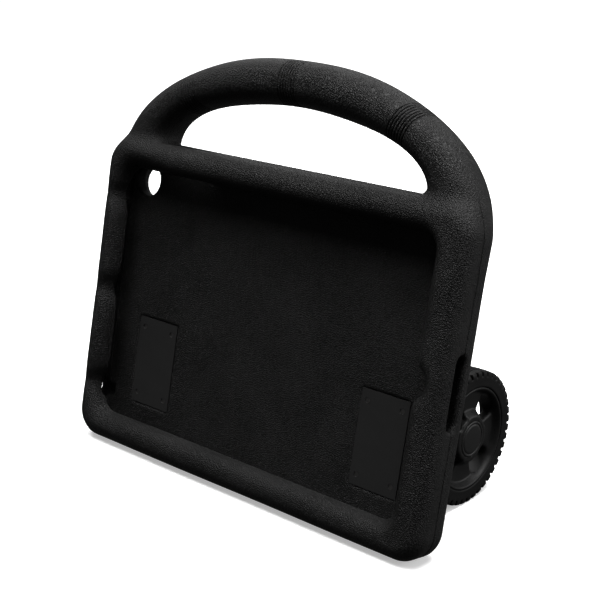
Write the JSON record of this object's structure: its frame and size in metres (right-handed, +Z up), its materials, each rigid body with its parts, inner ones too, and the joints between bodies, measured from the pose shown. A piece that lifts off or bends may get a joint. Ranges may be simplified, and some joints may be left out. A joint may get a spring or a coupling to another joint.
{
  "type": "tablet case",
  "caption": "Moulded foam case for a small tablet, with an arched carry handle, a screen window, side openings and fold-flat wheel legs that stand it up.",
  "frame": {"origin": "middle of the standing case's box, on the surface it stands on", "axes": "+X to the viewer's right along the case's width, +Y away from the viewer, +Z up; the case leans back 11.3 degrees, so its screen faces -Y and a little up"},
  "size_m": [0.2186, 0.105, 0.1983],
  "materials": {
    "foam_front": "satin",
    "foam_rear": "satin",
    "coated_plate": "satin",
    "hinge_plastic": "matte",
    "steel_screws": "satin",
    "steel_pin": "polished",
    "arm_plastic": "matte",
    "axle_steel": "polished",
    "nut_steel": "satin",
    "washer_steel": "satin",
    "bush_plastic": "satin",
    "rim_plastic": "satin",
    "tyre_rubber": "matte",
    "cap_plastic": "satin"
  },
  "bodies": {
    "case": {"front_shell": "foam_front", "rear_shell": "foam_rear", "hinge_base_screws": "steel_screws", "backing_plate_right": "coated_plate", "backing_plate_left": "coated_plate", "hinge_base_right": "hinge_plastic", "hinge_base_left": "hinge_plastic", "hinge_pin_right": "steel_pin", "hinge_pin_left": "steel_pin"},
    "leg_right": {"leg_arm_right": "arm_plastic", "stub_axle_right": "axle_steel", "axle_nut_right": "nut_steel", "axle_washer_right": "washer_steel", "axle_screw_right": "steel_screws"},
    "leg_left": {"leg_arm_left": "arm_plastic", "stub_axle_left": "axle_steel", "axle_nut_left": "nut_steel", "axle_washer_left": "washer_steel", "axle_screw_left": "steel_screws"},
    "wheel_right": {"wheel_rim_right": "rim_plastic", "tyre_right": "tyre_rubber", "wheel_bush_right": "bush_plastic", "hub_cap_right": "cap_plastic"},
    "wheel_left": {"wheel_rim_left": "rim_plastic", "tyre_left": "tyre_rubber", "wheel_bush_left": "bush_plastic", "hub_cap_left": "cap_plastic"}
  },
  "joints": [
    {"name": "leg_right_fold", "type": "hinge", "parent": "case", "child": "leg_right", "pos_m": [0.0715, -0.01682, 0.03971], "axis": [0, 0.1959, 0.9806], "range_deg": [0, 90]},
    {"name": "leg_left_fold", "type": "hinge", "parent": "case", "child": "leg_left", "pos_m": [-0.0715, -0.01682, 0.03971], "axis": [0, -0.1959, -0.9806], "range_deg": [0, 90]},
    {"name": "wheel_right_spin", "type": "hinge", "parent": "leg_right", "child": "wheel_right", "pos_m": [0.0798, 0.02024, 0.0323], "axis": [1, 0, 0], "continuous": true},
    {"name": "wheel_left_spin", "type": "hinge", "parent": "leg_left", "child": "wheel_left", "pos_m": [-0.0798, 0.02024, 0.0323], "axis": [1, 0, 0], "continuous": true}
  ]
}
